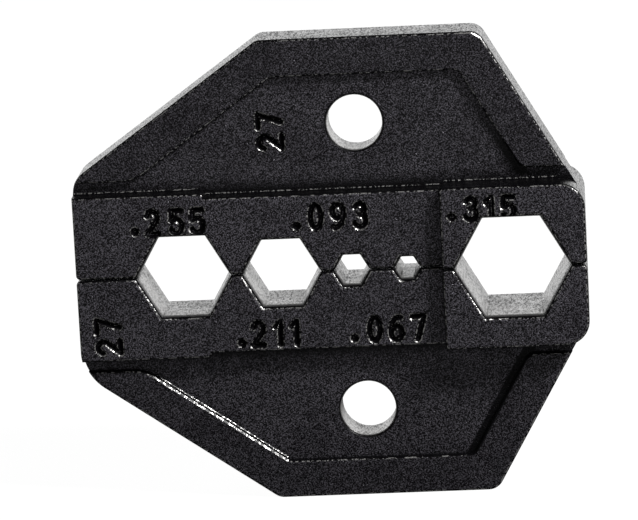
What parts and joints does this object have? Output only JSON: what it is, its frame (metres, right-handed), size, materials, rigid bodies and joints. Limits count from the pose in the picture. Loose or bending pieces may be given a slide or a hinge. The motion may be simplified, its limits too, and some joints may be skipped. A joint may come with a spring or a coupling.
{
  "type": "crimp die insert",
  "caption": "Matched pair of hexagonal crimp dies for a hand tool, closed: tabs with a screw hole each, and a thick band with half-hexagon nests.",
  "frame": {"origin": "middle of the closed pair: on the parting plane, at half its width and half its thickness", "axes": "+X along the parting line towards the thick end, +Z the way the upper half opens; the nests and the screw holes run along Y, and -Y is the front with the size numbers"},
  "size_m": [0.0414, 0.0096, 0.038],
  "materials": {
    "die_steel": "matt black oxide over a fine cast grain, rubbed a little brighter on the edges"
  },
  "bodies": {
    "lower_half": {"lower_die_half": "die_steel"},
    "upper_half": {"upper_die_half": "die_steel"}
  },
  "joints": [
    {"name": "die_opening", "type": "slide", "parent": "lower_half", "child": "upper_half", "axis": [0, 0, 1], "range_m": [0, 0.01]}
  ]
}
